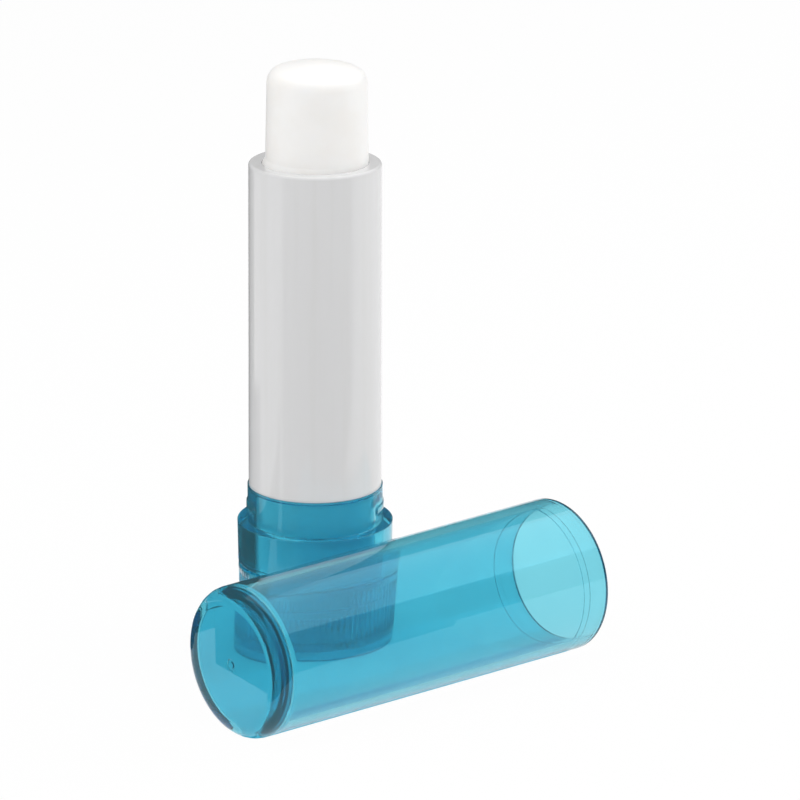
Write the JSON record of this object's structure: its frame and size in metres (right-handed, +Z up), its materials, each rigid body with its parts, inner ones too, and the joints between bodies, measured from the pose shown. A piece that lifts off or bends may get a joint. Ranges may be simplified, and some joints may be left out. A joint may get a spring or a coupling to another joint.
{
  "type": "lip balm stick",
  "caption": "Twist-up lip balm stick: white barrel on a clear blue collar and ribbed dial whose screw raises the balm, with its clear blue cap lying beside it.",
  "frame": {"origin": "on the stick's axis, in the plane of the dial's foot ring", "axes": "+Z up the stick towards the balm's tip; +X along the lying cap, from its closed end to its mouth"},
  "size_m": [0.0505, 0.0388, 0.073],
  "materials": {
    "blue_clear": "clear tinted plastic, polished",
    "white_gloss": "glossy moulded white",
    "white_inner": "plain moulded white",
    "balm_wax": "soft satin wax"
  },
  "bodies": {
    "barrel_unit": {"barrel": "white_gloss", "collar": "blue_clear"},
    "dial_unit": {"dial": "blue_clear", "spindle": "white_inner"},
    "balm_unit": {"carrier": "white_inner", "balm": "balm_wax"},
    "cap_unit": {"cap": "blue_clear"}
  },
  "joints": [
    {"name": "dial_turn", "type": "hinge", "parent": "barrel_unit", "child": "dial_unit", "pos_m": [0, 0, 0.0053], "axis": [0, 0, -1], "range_deg": [-1170, 2340]},
    {"name": "carrier_slide", "type": "slide", "parent": "barrel_unit", "child": "balm_unit", "axis": [0, 0, 1], "range_m": [-0.013, 0.026]},
    {"name": "cap_pull", "type": "slide", "parent": "barrel_unit", "child": "cap_unit", "axis": [-1, 0, 0], "range_m": [0, 0.045]}
  ],
  "couplings": [
    {"joint": "carrier_slide", "follows": "dial_turn", "m_per_rad": 0.00063662}
  ]
}
